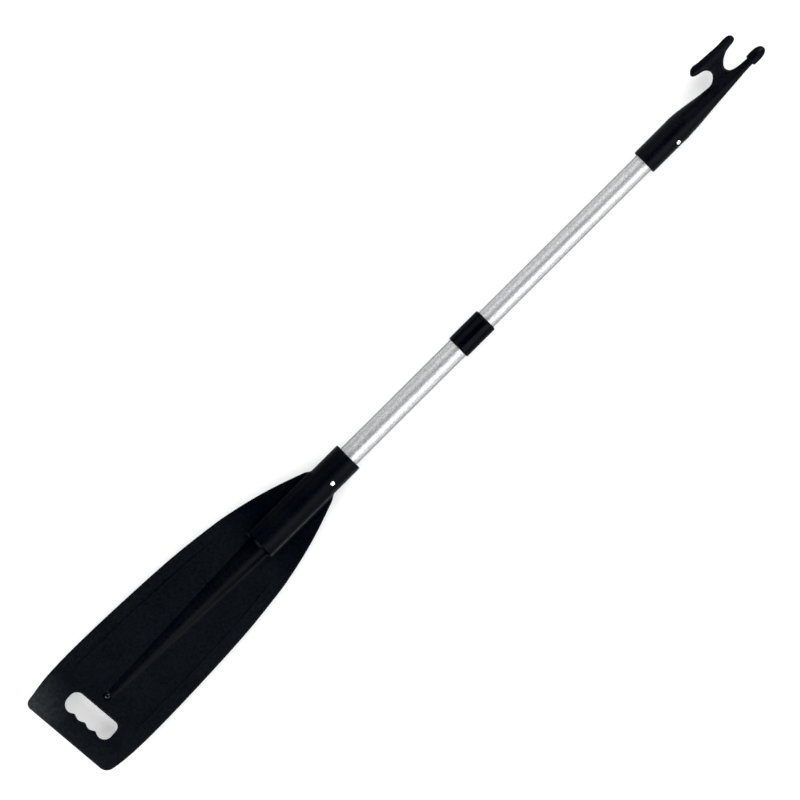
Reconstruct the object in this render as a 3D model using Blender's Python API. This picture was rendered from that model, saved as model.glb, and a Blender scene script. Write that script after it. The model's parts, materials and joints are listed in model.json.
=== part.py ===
"""Telescopic paddle with a boat hook on the far end of its shaft.

The shaft runs along X, with the blade at -X and the hook at +X. The blade lies flat in the XY plane.
Lengths are in metres. The paddle lies on the plane z = 0, which its blade socket touches.
"""

import math

import bmesh
import bpy
from mathutils import Vector

MM = 0.001

# Shaft: two tubes that telescope
TUBE_OUTER_R = 15.0 * MM
TUBE_WALL = 0.9 * MM
INNER_TUBE_R = 13.8 * MM
OUTER_TUBE_X = (-284.0 * MM, 135.0 * MM)
INNER_TUBE_X = (80.0 * MM, 504.0 * MM)
TUBE_PLUG_FLANGE = 2.0 * MM
TUBE_PLUG_DEPTH = 7.0 * MM
GAP = 0.3 * MM

# Collar on the outer tube's open end
COLLAR_R = 17.4 * MM
COLLAR_X = (86.0 * MM, 139.3 * MM)
COLLAR_RIM_R = 2.4 * MM

# Blade
SOCKET_R = 21.65 * MM
SOCKET_X = (-289.0 * MM, -121.2 * MM)
SOCKET_MOUTH_CHAMFER = 0.8 * MM
SOCKET_STEP_CHAMFER = 1.5 * MM
SOCKET_END_WALL = 2.4 * MM
RIB_ROOT_R = 15.2 * MM
RIB_TIP_R = 4.4 * MM
RIB_FLATNESS = 0.8
RIB_TIP_X = -572.0 * MM
NUB_R = 5.2 * MM
NUB_X = -577.5 * MM
PLATE_THICKNESS = 5.0 * MM
PLATE_EDGE_R = 1.6 * MM
TIP_X = -657.9 * MM
TIP_SLANT = math.radians(5.0)
TIP_CORNER_R = (9.0 * MM, 14.0 * MM)

# Half the blade's width at stations along the shaft, from the shoulder to the tip
BLADE_STATIONS = (
    (-171.0, 20.0),
    (-173.6, 23.4),
    (-178.0, 26.4),
    (-183.5, 28.5),
    (-208.5, 37.4),
    (-235.0, 45.9),
    (-262.0, 53.0),
    (-289.0, 59.0),
    (-316.0, 63.6),
    (-370.0, 69.9),
    (-410.0, 72.9),
    (-450.0, 75.0),
    (-500.0, 77.0),
    (-550.0, 78.2),
    (-590.0, 78.1),
    (-620.0, 76.6),
    (-645.0, 73.0),
    (-670.0, 67.5),
)

# Hand hole near the blade's tip, with finger bays on its outer side
HOLE_CENTRE = Vector((-612.0 * MM, -2.5 * MM, 0.0))
HOLE_HALF_LENGTH = 38.8 * MM
HOLE_HALF_WIDTH = 15.0 * MM
FINGER_PITCH = 18.0 * MM
FINGER_DEPTH = 3.8 * MM
FINGERS = 4
HOLE_CORNER_R = (12.0 * MM, 8.0 * MM)

# Boat hook, measured from its socket's mouth
HOOK_X = 438.1 * MM
HOOK_SOCKET_R = 18.25 * MM
HOOK_MOUTH_CHAMFER = 1.4 * MM
HOOK_SOCKET_END = 72.0 * MM
HOOK_BORE_DEPTH = 69.0 * MM
HOOK_PLATE_THICKNESS = 13.0 * MM
HOOK_PLATE_EDGE_R = 3.2 * MM
BALL_BASE_X = 197.4 * MM
BALL_WIDEST_X = 206.0 * MM
BALL_TIP_X = 223.5 * MM
BALL_Y = -3.8 * MM
BALL_R = 8.4 * MM
BALL_BASE_CHAMFER = 0.9 * MM
BALL_BLUNTNESS = 2.4

# Spine of the hook: distance from the mouth, upper edge, lower edge, half height
HOOK_SPINE = (
    (68.0, 17.9, -17.9, 17.9),
    (76.0, 17.7, -17.9, 17.8),
    (92.0, 15.5, -16.9, 15.4),
    (119.0, 11.3, -14.4, 11.4),
    (135.0, 8.9, -13.2, 9.4),
    (165.0, 4.7, -10.8, 7.2),
    (181.0, 2.2, -9.3, 6.2),
    (199.0, 0.8, -8.4, 5.4),
)

# Outline of the hook's plate: the cross bar, both bays and the web between them
HOOK_OUTLINE = (
    (84.0, 8.0),
    (110.0, 10.0),
    (127.0, 9.6),
    (134.5, 9.7),
    (140.5, 11.6),
    (145.5, 15.0),
    (148.8, 19.3),
    (149.3, 23.8),
    (147.0, 28.0),
    (142.0, 30.9),
    (134.5, 32.5),
    (129.2, 34.5),
    (126.6, 38.0),
    (129.0, 42.0),
    (133.5, 44.9),
    (139.0, 45.3),
    (147.0, 44.0),
    (163.0, 43.0),
    (180.0, 42.0),
    (191.0, 42.5),
    (199.0, 41.8),
    (203.3, 39.2),
    (204.4, 35.5),
    (202.8, 31.6),
    (197.0, 29.7),
    (190.0, 29.0),
    (183.0, 27.6),
    (175.5, 23.9),
    (170.0, 19.5),
    (167.0, 15.0),
    (166.9, 11.2),
    (169.0, 7.2),
    (173.6, 4.2),
    (181.0, 2.0),
    (192.0, 0.9),
    (200.0, 0.2),
    (202.5, -3.6),
    (200.0, -7.6),
    (185.0, -8.2),
    (135.0, -10.5),
    (90.0, -9.0),
)

# Rivets: places along the shaft, and the turn from straight up towards -Y
BLADE_RIVET_X = -161.5 * MM
BLADE_RIVET_TURN = math.radians(29.5)
HOOK_RIVET_X = 489.8 * MM
HOOK_RIVET_TURN = math.radians(49.0)
RIVET_HEAD_R = 3.2 * MM
RIVET_SHANK_R = 1.6 * MM
RIVET_BORE_R = 1.0 * MM
RIVET_BULB_R = 2.6 * MM
RIVET_BULB_LENGTH = 2.3 * MM
MANDREL_R = 0.7 * MM

# Twist lock inside the tubes
STUD_R = 4.0 * MM
STUD_X = (34.5 * MM, 88.0 * MM)
STOP_NUT_X = (34.9 * MM, 38.9 * MM)
STOP_NUT_FLATS = 13.0 * MM
CONE_X = (42.5 * MM, 62.5 * MM)
CONE_CLEARANCE = 0.35 * MM
SLEEVE_X = (48.0 * MM, 74.7 * MM)
SLEEVE_R = 13.7 * MM
SLEEVE_TAPER_R = (11.2 * MM, 6.2 * MM)
SLEEVE_TAPER_END = 64.0 * MM
SLEEVE_BORE_R = 5.0 * MM
SLOT_WIDTH = 2.4 * MM
SLOT_END = 69.8 * MM
KEY_WIDTH = 1.8 * MM
KEY_X = (45.5 * MM, 60.0 * MM)
KEY_R = 12.6 * MM
O_RING_X = 72.2 * MM
O_RING_R = 13.0 * MM
O_RING_SECTION_R = 0.9 * MM
GROOVE_HALF_WIDTH = 1.3 * MM
GROOVE_R = 11.7 * MM
WASHER_X = (75.0 * MM, 76.2 * MM)
WASHER_R = 12.5 * MM
WASHER_BORE_R = 4.5 * MM
PLUG_FLANGE_X = 76.5 * MM
PLUG_END = 106.0 * MM
PIN_X = 98.0 * MM
PIN_R = 1.5 * MM

# Hexagon nuts and stubs
STUD_CHAMFER = 0.8 * MM
PIN_CHAMFER = 0.4 * MM

# How finely the round pieces are drawn
SHAFT_SIDES = 48
SPINE_SIDES = 32
LOCK_SIDES = 24
RIVET_SIDES = 12

AXIS_Z = SOCKET_R
OUTER_BORE_R = TUBE_OUTER_R - TUBE_WALL
INNER_BORE_R = INNER_TUBE_R - TUBE_WALL


# --- tools ---------------------------------------------------------------------------------------


def clear_scene():
    for old in list(bpy.data.objects):
        bpy.data.objects.remove(old, do_unlink=True)


def make_material(name, colour, roughness, metallic=0.0):
    mat = bpy.data.materials.new(name)
    mat.use_nodes = True
    shader = mat.node_tree.nodes["Principled BSDF"]
    shader.inputs["Base Color"].default_value = (*colour, 1.0)
    shader.inputs["Roughness"].default_value = roughness
    shader.inputs["Metallic"].default_value = metallic
    mat.diffuse_color = (*colour, 1.0)
    return mat


def make_object(name, bm, mat=None):
    """Turns a bmesh into an object with outward faces and soft shading between hard edges."""
    bmesh.ops.remove_doubles(bm, verts=bm.verts, dist=0.001 * MM)
    bmesh.ops.recalc_face_normals(bm, faces=bm.faces)
    mesh = bpy.data.meshes.new(name)
    bm.to_mesh(mesh)
    bm.free()
    mesh.shade_smooth()
    mesh.set_sharp_from_angle(angle=math.radians(35))
    if mat:
        mesh.materials.append(mat)
    obj = bpy.data.objects.new(name, mesh)
    bpy.context.scene.collection.objects.link(obj)
    return obj


def turned(name, profile, sides, mat=None, closed=True):
    """Turns a profile of (along, radius) points about the X axis."""
    bm = bmesh.new()
    verts = [bm.verts.new((x, 0.0, r)) for x, r in profile]
    edges = [bm.edges.new(pair) for pair in zip(verts, verts[1:])]
    if closed:
        edges.append(bm.edges.new((verts[-1], verts[0])))
    bmesh.ops.spin(
        bm,
        geom=verts + edges,
        cent=(0, 0, 0),
        axis=(1, 0, 0),
        angle=2 * math.pi,
        steps=sides,
        use_merge=True,
    )
    return make_object(name, bm, mat)


def prism_mesh(outline, z_low, z_high, edge_r=0.0):
    """An outline in the XY plane, drawn up into a plate with rounded edges."""
    bm = bmesh.new()
    face = bm.faces.new([bm.verts.new((x, y, z_low)) for x, y in outline])
    out = bmesh.ops.extrude_face_region(bm, geom=[face])
    top = [v for v in out["geom"] if isinstance(v, bmesh.types.BMVert)]
    bmesh.ops.translate(bm, verts=top, vec=(0, 0, z_high - z_low))
    if edge_r:
        rims = [e for e in bm.edges if abs(e.verts[0].co.z - e.verts[1].co.z) < 0.01 * MM]
        bmesh.ops.bevel(bm, geom=rims, offset=edge_r, segments=2, profile=0.5, affect="EDGES")
    return bm


def box_mesh(low, high):
    bm = bmesh.new()
    bmesh.ops.create_cube(bm, size=1.0)
    low, high = Vector(low), Vector(high)
    bmesh.ops.scale(bm, verts=bm.verts, vec=high - low)
    bmesh.ops.translate(bm, verts=bm.verts, vec=(low + high) / 2)
    return bm


def ball_mesh(centre, half_size, sides=24, rings=14):
    bm = bmesh.new()
    bmesh.ops.create_uvsphere(bm, u_segments=sides, v_segments=rings, radius=1.0)
    bmesh.ops.scale(bm, verts=bm.verts, vec=half_size)
    bmesh.ops.translate(bm, verts=bm.verts, vec=centre)
    return bm


def as_tool(obj, parent):
    """Marks an object as one that only shapes another."""
    obj.hide_render = True
    obj.display_type = "WIRE"
    obj.parent = parent
    return obj


def shape_with(obj, tool, operation):
    mod = obj.modifiers.new(tool.name, "BOOLEAN")
    mod.operation = operation
    mod.solver = "EXACT"
    mod.object = tool


def radial(turn):
    """The direction across the shaft that is turned from straight up towards -Y."""
    return Vector((0.0, -math.sin(turn), math.cos(turn)))


def point_along(obj, direction):
    obj.rotation_mode = "QUATERNION"
    obj.rotation_quaternion = Vector((1, 0, 0)).rotation_difference(direction)


def bore_tool(name, x_range, radius):
    """A plain rod along the shaft that bores a piece out."""
    low, high = x_range
    profile = ((low, 0.0), (low, radius), (high, radius), (high, 0.0))
    return turned(name, profile, SHAFT_SIDES, closed=False)


def cross_drill(name, x, turn, radius, parent):
    """A drill that passes right through the shaft at x."""
    reach = 2 * SOCKET_R
    profile = ((-reach, 0.0), (-reach, radius), (reach, radius), (reach, 0.0))
    drill = turned(name, profile, RIVET_SIDES, closed=False)
    drill.location = (x, 0, 0)
    point_along(drill, radial(turn))
    return as_tool(drill, parent)


def smooth_loop(points, steps):
    """A closed smooth curve through the points."""
    loop = []
    count = len(points)
    for i in range(count):
        before, start, end, after = (Vector(points[(i + k) % count]) for k in (-1, 0, 1, 2))
        loop += [curve_point(before, start, end, after, k / steps) for k in range(steps)]
    return loop


def curve_point(before, start, end, after, t):
    """A point of the Catmull-Rom curve between start and end."""
    return 0.5 * (
        2 * start
        + (end - before) * t
        + (2 * before - 5 * start + 4 * end - after) * t**2
        + (3 * start - before - 3 * end + after) * t**3
    )


def arc(centre, radius, start, end, steps):
    """Points of an arc in the XY plane, angles in radians."""
    angles = [start + (end - start) * k / steps for k in range(steps + 1)]
    return [
        (centre[0] + radius * math.cos(a), centre[1] + radius * math.sin(a)) for a in angles
    ]


def rounded_corner(before, corner, after, radius, steps=5):
    """The arc that rounds the corner between two straight runs."""
    before, corner, after = Vector(before), Vector(corner), Vector(after)
    to_before = (before - corner).normalized()
    to_after = (after - corner).normalized()
    half = to_before.angle(to_after) / 2
    centre = corner + (to_before + to_after).normalized() * radius / math.sin(half)
    first = corner + to_before * radius / math.tan(half) - centre
    last = corner + to_after * radius / math.tan(half) - centre
    turn = first.angle_signed(last)
    points = []
    for k in range(steps + 1):
        a = -turn * k / steps
        offset = Vector(
            (
                first.x * math.cos(a) - first.y * math.sin(a),
                first.x * math.sin(a) + first.y * math.cos(a),
            )
        )
        points.append(tuple(centre + offset))
    return points


# --- blade side ----------------------------------------------------------------------------------


def blade_edge():
    """One edge of the blade from the shoulder to the tip, as (x, half width)."""
    stations = [Vector(s) * MM for s in BLADE_STATIONS]
    edge = []
    for before, start, end, after in zip(stations, stations[1:], stations[2:], stations[3:]):
        edge += [curve_point(before, start, end, after, k / 2) for k in range(2)]
    return [stations[0]] + edge + [stations[-2]]


def tip_line_x(y):
    return TIP_X - y * math.tan(TIP_SLANT)


def blade_outline():
    """The blade's outline, from one shoulder round the slanted tip to the other."""
    edge = blade_edge()
    last, before = edge[-1], edge[-2]
    slope = (last.y - before.y) / (last.x - before.x)
    sides = []
    for sign, radius in zip((1, -1), TIP_CORNER_R):
        # the corner is where the edge, carried on straight, meets the slanted tip
        x = last.x
        for _ in range(8):
            x = tip_line_x(sign * (last.y + slope * (x - last.x)))
        corner = (x, sign * (last.y + slope * (x - last.x)))
        start = (before.x, sign * before.y)
        other = (TIP_X, 0.0)
        turn = rounded_corner(start, corner, other, radius)
        run = [(p.x, sign * p.y) for p in edge if p.x > turn[0][0] + 2 * MM]
        sides.append(run + turn)
    return sides[0] + list(reversed(sides[1]))


def hand_hole_outline():
    """The hand hole: straight towards the shaft, finger bays towards the tip, then slanted as the tip is."""
    half_run = FINGERS * FINGER_PITCH / 2
    valley = half_run - FINGER_PITCH / 2
    end_r = HOLE_HALF_LENGTH - valley
    steps_each = 8
    local = []
    for k in range((FINGERS - 1) * steps_each + 1):
        u = valley - 2 * valley * k / ((FINGERS - 1) * steps_each)
        wave = math.sin(math.pi * u / FINGER_PITCH)
        lift = math.sqrt(wave**2 + 0.03) / math.sqrt(1.03)
        local.append((HOLE_HALF_WIDTH - FINGER_DEPTH * (1 - lift), u))
    high_r, low_r = HOLE_CORNER_R
    width = HOLE_HALF_WIDTH
    length = HOLE_HALF_LENGTH
    quarter = math.pi / 2
    local += arc((width - end_r, -valley), end_r, 0, -quarter, 6)[1:]
    local += arc((-width + low_r, -length + low_r), low_r, -quarter, -2 * quarter, 6)
    local += arc((-width + high_r, length - high_r), high_r, 2 * quarter, quarter, 6)
    local += arc((width - end_r, valley), end_r, quarter, 0, 6)[:-1]
    cos, sin = math.cos(TIP_SLANT), math.sin(TIP_SLANT)
    return [
        (HOLE_CENTRE.x - w * cos - u * sin, HOLE_CENTRE.y - w * sin + u * cos) for w, u in local
    ]


def make_blade(mat, parent):
    """The moulded blade: plate, socket and rib joined, then bored for the tube, rivets and hand."""
    half = PLATE_THICKNESS / 2
    blade = make_object("blade", prism_mesh(blade_outline(), -half, half, PLATE_EDGE_R), mat)
    blade.parent = parent
    step, mouth = SOCKET_X
    socket = turned(
        "blade_socket",
        (
            (mouth, 0.0),
            (mouth, SOCKET_R - SOCKET_MOUTH_CHAMFER),
            (mouth - SOCKET_MOUTH_CHAMFER, SOCKET_R),
            (step + SOCKET_STEP_CHAMFER, SOCKET_R),
            (step, SOCKET_R - SOCKET_STEP_CHAMFER),
            (step, 0.0),
        ),
        SHAFT_SIDES,
        closed=False,
    )
    rib_root_x = step + SOCKET_END_WALL / 2
    rib = turned(
        "blade_rib",
        ((rib_root_x, 0.0), (rib_root_x, RIB_ROOT_R), (RIB_TIP_X, RIB_TIP_R), (RIB_TIP_X - 2 * MM, 0.0)),
        SHAFT_SIDES,
        closed=False,
    )
    rib.scale.z = RIB_FLATNESS
    nub = make_object("blade_nub", ball_mesh((NUB_X, 0, 0), (NUB_R, NUB_R, NUB_R * 0.9), 24, 12))
    bore_end = OUTER_TUBE_X[0] - TUBE_PLUG_FLANGE - 2 * GAP
    bore = bore_tool("blade_bore", (bore_end, mouth + 5 * MM), TUBE_OUTER_R + GAP)
    hole = make_object("hand_hole", prism_mesh(hand_hole_outline(), -10 * MM, 10 * MM))
    drill_r = RIVET_SHANK_R + GAP
    drill = cross_drill("blade_drill", BLADE_RIVET_X, BLADE_RIVET_TURN, drill_r, parent)
    for tool in (socket, rib, nub):
        shape_with(blade, as_tool(tool, parent), "UNION")
    for tool in (drill, bore, hole):
        shape_with(blade, as_tool(tool, parent), "DIFFERENCE")


def tube_profile(x_range, r_outer, r_inner):
    return (
        (x_range[0], r_inner),
        (x_range[0], r_outer),
        (x_range[1], r_outer),
        (x_range[1], r_inner),
    )


def end_plug_profile(tube_end, towards, tube_r, bore_r):
    """A plug pushed into a tube's end, with a flange over the tube's edge."""
    face = tube_end - towards * GAP
    back = face - towards * TUBE_PLUG_FLANGE
    inside = tube_end + towards * TUBE_PLUG_DEPTH
    return (
        (back, 0.0),
        (back, tube_r - 0.5 * MM),
        (back + towards * 0.5 * MM, tube_r),
        (face, tube_r),
        (face, bore_r - GAP),
        (inside - towards * MM, bore_r - GAP),
        (inside, bore_r - GAP - MM),
        (inside, 0.0),
    )


def make_outer_tube(mat, plug_mat, parent):
    profile = tube_profile(OUTER_TUBE_X, TUBE_OUTER_R, OUTER_BORE_R)
    tube = turned("outer_tube", profile, SHAFT_SIDES, mat)
    tube.parent = parent
    drill_r = RIVET_SHANK_R + GAP
    drill = cross_drill("outer_tube_drill", BLADE_RIVET_X, BLADE_RIVET_TURN, drill_r, parent)
    shape_with(tube, drill, "DIFFERENCE")
    profile = end_plug_profile(OUTER_TUBE_X[0], 1, TUBE_OUTER_R, OUTER_BORE_R)
    plug = turned("outer_tube_plug", profile, LOCK_SIDES, plug_mat, closed=False)
    plug.parent = parent


def make_collar(mat, parent):
    """A sleeve with rounded rims. Its front lip closes in on the inner tube."""
    low, high = COLLAR_X
    rim = COLLAR_RIM_R
    lip = OUTER_TUBE_X[1] + GAP
    profile = [(low, TUBE_OUTER_R + GAP)]
    quarter = math.pi / 2
    profile += arc((low + rim, COLLAR_R - rim), rim, 2 * quarter, quarter, 4)
    profile += arc((high - rim, COLLAR_R - rim), rim, quarter, 0, 4)
    profile += [(high, INNER_TUBE_R + GAP), (lip, INNER_TUBE_R + GAP), (lip, TUBE_OUTER_R + GAP)]
    turned("lock_collar", profile, SHAFT_SIDES, mat).parent = parent


# --- rivets --------------------------------------------------------------------------------------


def make_rivet(name, x, turn, surface_r, bore_r, mats, parent):
    """A blind rivet and the stub of its mandrel, through a socket and the tube in it."""
    seat = surface_r + GAP
    inner_wall = math.sqrt(bore_r**2 - RIVET_BULB_R**2)
    grip = seat - inner_wall + GAP
    bulb_end = grip + RIVET_BULB_LENGTH
    bulb_mid = grip + RIVET_BULB_LENGTH / 2
    head = RIVET_HEAD_R
    bore = RIVET_BORE_R
    body = turned(
        name,
        (
            (1.0 * MM, bore),
            (1.15 * MM, bore + 0.35 * MM),
            (0.95 * MM, head * 0.7),
            (0.55 * MM, head * 0.95),
            (0.15 * MM, head),
            (0.0, head * 0.96),
            (0.0, RIVET_SHANK_R),
            (-grip, RIVET_SHANK_R),
            (-grip, RIVET_BULB_R * 0.9),
            (-bulb_mid, RIVET_BULB_R),
            (-bulb_end, RIVET_BULB_R * 0.7),
            (-bulb_end, bore),
        ),
        RIVET_SIDES,
        mats[0],
    )
    stub = turned(
        name + "_mandrel",
        (
            (0.2 * MM, 0.0),
            (0.2 * MM, MANDREL_R),
            (-bulb_end - GAP, MANDREL_R),
            (-bulb_end - GAP, MANDREL_R * 2),
            (-bulb_end - 1.3 * MM, MANDREL_R * 1.8),
            (-bulb_end - 1.8 * MM, 0.0),
        ),
        RIVET_SIDES,
        mats[1],
        closed=False,
    )
    direction = radial(turn)
    for piece in (body, stub):
        piece.location = Vector((x, 0, 0)) + direction * seat
        point_along(piece, direction)
        piece.parent = parent


# --- hook side -----------------------------------------------------------------------------------


def make_inner_tube(mat, plug_mat, parent):
    profile = tube_profile(INNER_TUBE_X, INNER_TUBE_R, INNER_BORE_R)
    tube = turned("inner_tube", profile, SHAFT_SIDES, mat)
    tube.parent = parent
    rivet_r = RIVET_SHANK_R + GAP
    rivet_drill = cross_drill("tube_drill", HOOK_RIVET_X, HOOK_RIVET_TURN, rivet_r, parent)
    pin_drill = cross_drill("tube_pin_drill", PIN_X, 0.0, PIN_R + GAP, parent)
    for drill in (rivet_drill, pin_drill):
        shape_with(tube, drill, "DIFFERENCE")
    profile = end_plug_profile(INNER_TUBE_X[1], -1, INNER_TUBE_R, INNER_BORE_R)
    plug = turned("inner_tube_plug", profile, LOCK_SIDES, plug_mat, closed=False)
    plug.parent = parent


def spine_mesh():
    """The hook's spine: oval sections that shrink from the socket to the finger's neck."""
    bm = bmesh.new()
    rings = []
    for along, upper, lower, height in HOOK_SPINE:
        half = (upper - lower) / 2
        middle = (upper + lower) / 2
        ring = []
        for k in range(SPINE_SIDES):
            a = 2 * math.pi * k / SPINE_SIDES
            point = (along, middle + half * math.cos(a), height * math.sin(a))
            ring.append(bm.verts.new(Vector(point) * MM))
        rings.append(ring)
    for one, two in zip(rings, rings[1:]):
        for k in range(SPINE_SIDES):
            n = (k + 1) % SPINE_SIDES
            bm.faces.new((one[k], one[n], two[n], two[k]))
    bm.faces.new(rings[0])
    bm.faces.new(reversed(rings[-1]))
    return bm


def ball_profile():
    """Half the ball's section: a flat base, its widest place, and a long round tip."""
    profile = [(BALL_BASE_X, 0.0), (BALL_BASE_X, BALL_R - 2 * BALL_BASE_CHAMFER)]
    length = BALL_TIP_X - BALL_WIDEST_X
    power = 2 / BALL_BLUNTNESS
    back = (BALL_WIDEST_X - BALL_BASE_X - BALL_BASE_CHAMFER) / length
    back_r = BALL_R * (1 - back**BALL_BLUNTNESS) ** (1 / BALL_BLUNTNESS)
    profile.append((BALL_WIDEST_X - back * length, back_r))
    for k in range(9):
        angle = math.pi / 2 * k / 8
        reach = length * math.sin(angle) ** power
        profile.append((BALL_WIDEST_X + reach, BALL_R * max(math.cos(angle), 0.0) ** power))
    return profile


def make_hook(mat, parent):
    """The moulded boat hook: socket, spine, plate and ball joined, then bored for tube and rivets."""
    r = HOOK_SOCKET_R
    cut = HOOK_MOUTH_CHAMFER
    end = HOOK_SOCKET_END
    hook = turned(
        "boat_hook",
        ((0.0, 0.0), (0.0, r - cut * 0.8), (cut, r), (end, r), (end, 0.0)),
        SHAFT_SIDES,
        mat,
        closed=False,
    )
    outline = [p * MM for p in smooth_loop(HOOK_OUTLINE, 2)]
    half = HOOK_PLATE_THICKNESS / 2
    plate = make_object("hook_plate", prism_mesh(outline, -half, half, HOOK_PLATE_EDGE_R))
    spine = make_object("hook_spine", spine_mesh())
    ball = turned("hook_ball", ball_profile(), LOCK_SIDES, closed=False)
    bore = bore_tool("hook_bore", (-5 * MM, HOOK_BORE_DEPTH), INNER_TUBE_R + GAP)
    for piece in (hook, plate, spine, ball, bore):
        piece.location = (HOOK_X, 0, 0)
    ball.location.y = BALL_Y
    hook.parent = parent
    for tool in (spine, plate, ball):
        shape_with(hook, as_tool(tool, parent), "UNION")
    drill_r = RIVET_SHANK_R + GAP
    drill = cross_drill("hook_drill", HOOK_RIVET_X, HOOK_RIVET_TURN, drill_r, parent)
    for tool in (drill, bore):
        shape_with(hook, as_tool(tool, parent), "DIFFERENCE")


def make_lock_plug(plastic, steel, parent):
    """The plug in the inner tube's end, its cross pin, and the stud that it holds."""
    bore_r = STUD_R + GAP
    bore_end = STUD_X[1] + GAP
    flange_end = INNER_TUBE_X[0] - GAP
    body_r = INNER_BORE_R - GAP
    flange_r = INNER_TUBE_R - 0.2 * MM
    plug = turned(
        "lock_plug",
        (
            (bore_end, 0.0),
            (bore_end, bore_r),
            (PLUG_FLANGE_X, bore_r),
            (PLUG_FLANGE_X, flange_r),
            (flange_end, flange_r),
            (flange_end, body_r),
            (PLUG_END - MM, body_r),
            (PLUG_END, body_r - MM),
            (PLUG_END, 0.0),
        ),
        LOCK_SIDES,
        plastic,
        closed=False,
    )
    plug.parent = parent
    shape_with(plug, cross_drill("plug_drill", PIN_X, 0.0, PIN_R + GAP, parent), "DIFFERENCE")
    reach = INNER_TUBE_R - GAP
    cut = PIN_CHAMFER
    pin = turned(
        "lock_plug_pin",
        (
            (-reach, 0.0),
            (-reach, PIN_R - cut),
            (-reach + cut, PIN_R),
            (reach - cut, PIN_R),
            (reach, PIN_R - cut),
            (reach, 0.0),
        ),
        RIVET_SIDES,
        steel,
        closed=False,
    )
    pin.location = (PIN_X, 0, 0)
    point_along(pin, radial(0.0))
    pin.parent = parent
    cut = STUD_CHAMFER
    stud = turned(
        "lock_stud",
        (
            (STUD_X[0], 0.0),
            (STUD_X[0], STUD_R - cut),
            (STUD_X[0] + cut, STUD_R),
            (STUD_X[1], STUD_R),
            (STUD_X[1], 0.0),
        ),
        LOCK_SIDES,
        steel,
        closed=False,
    )
    stud.parent = parent
    profile = tube_profile(WASHER_X, WASHER_R, WASHER_BORE_R)
    turned("thrust_washer", profile, LOCK_SIDES, steel).parent = parent


def make_stop_nut(mat, parent):
    """A thin hexagon nut on the stud's free end."""
    corner_r = STOP_NUT_FLATS / 2 / math.cos(math.pi / 6)
    low, high = STOP_NUT_X
    profile = ((low, 0.0), (low, corner_r), (high, corner_r), (high, 0.0))
    nut = turned("stop_nut", profile, 6, mat, closed=False)
    nut.parent = parent
    bore = bore_tool("stop_nut_bore", (low - 2 * MM, high + 2 * MM), STUD_R + GAP)
    shape_with(nut, as_tool(bore, parent), "DIFFERENCE")


# --- twist lock ----------------------------------------------------------------------------------


def taper_radius(x):
    """The radius of the sleeve's tapered mouth at x."""
    wide, narrow = SLEEVE_TAPER_R
    share = (x - SLEEVE_X[0]) / (SLEEVE_TAPER_END - SLEEVE_X[0])
    return wide + (narrow - wide) * share


def cross_slabs(prefix, low_x, high_x, width, reach, parent):
    """Two slabs that cross on the shaft's axis."""
    half = width / 2
    flat = box_mesh((low_x, -reach, -half), (high_x, reach, half))
    upright = box_mesh((low_x, -half, -reach), (high_x, half, reach))
    slabs = (make_object(prefix + "_flat", flat), make_object(prefix + "_upright", upright))
    return [as_tool(slab, parent) for slab in slabs]


def make_sleeve(mat, ring_mat, parent):
    """The slotted sleeve, its tapered mouth, and the ring in its groove."""
    low, high = SLEEVE_X
    wide, narrow = SLEEVE_TAPER_R
    groove = (O_RING_X - GROOVE_HALF_WIDTH, O_RING_X + GROOVE_HALF_WIDTH)
    sleeve = turned(
        "expander_sleeve",
        (
            (low, wide),
            (low, SLEEVE_R - 0.5 * MM),
            (low + MM, SLEEVE_R),
            (groove[0], SLEEVE_R),
            (groove[0], GROOVE_R),
            (groove[1], GROOVE_R),
            (groove[1], SLEEVE_R),
            (high, SLEEVE_R),
            (high, SLEEVE_BORE_R),
            (SLEEVE_TAPER_END + 2 * MM, SLEEVE_BORE_R),
            (SLEEVE_TAPER_END, narrow),
        ),
        LOCK_SIDES,
        mat,
    )
    sleeve.parent = parent
    for slab in cross_slabs("slot", low - 2 * MM, SLOT_END, SLOT_WIDTH, 20 * MM, parent):
        shape_with(sleeve, slab, "DIFFERENCE")
    section = arc((O_RING_X, O_RING_R), O_RING_SECTION_R, 0, 2 * math.pi, 8)[:-1]
    turned("expander_o_ring", section, LOCK_SIDES, ring_mat).parent = parent


def make_cone_nut(mat, parent):
    """The tapered nut, with keys that run in the sleeve's slots so that it can't turn."""
    clearance = CONE_CLEARANCE
    mouth = SLEEVE_X[0] - 0.1 * MM
    mouth_r = taper_radius(SLEEVE_X[0]) - clearance
    nut = turned(
        "cone_nut",
        (
            (CONE_X[0], 0.0),
            (CONE_X[0], mouth_r),
            (mouth, mouth_r),
            (CONE_X[1], taper_radius(CONE_X[1]) - clearance),
            (CONE_X[1], 0.0),
        ),
        LOCK_SIDES,
        mat,
        closed=False,
    )
    nut.parent = parent
    for slab in cross_slabs("key", KEY_X[0], KEY_X[1], KEY_WIDTH, KEY_R, parent):
        shape_with(nut, slab, "UNION")
    bore = bore_tool("cone_nut_bore", (CONE_X[0] - 3 * MM, CONE_X[1] + 3 * MM), STUD_R + GAP)
    shape_with(nut, as_tool(bore, parent), "DIFFERENCE")


# --- the whole paddle ----------------------------------------------------------------------------


def make_group(name):
    """An empty on the shaft's axis, which the pieces that move together hang on."""
    group = bpy.data.objects.new(name, None)
    group.location = (0, 0, AXIS_Z)
    bpy.context.scene.collection.objects.link(group)
    return group


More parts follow.
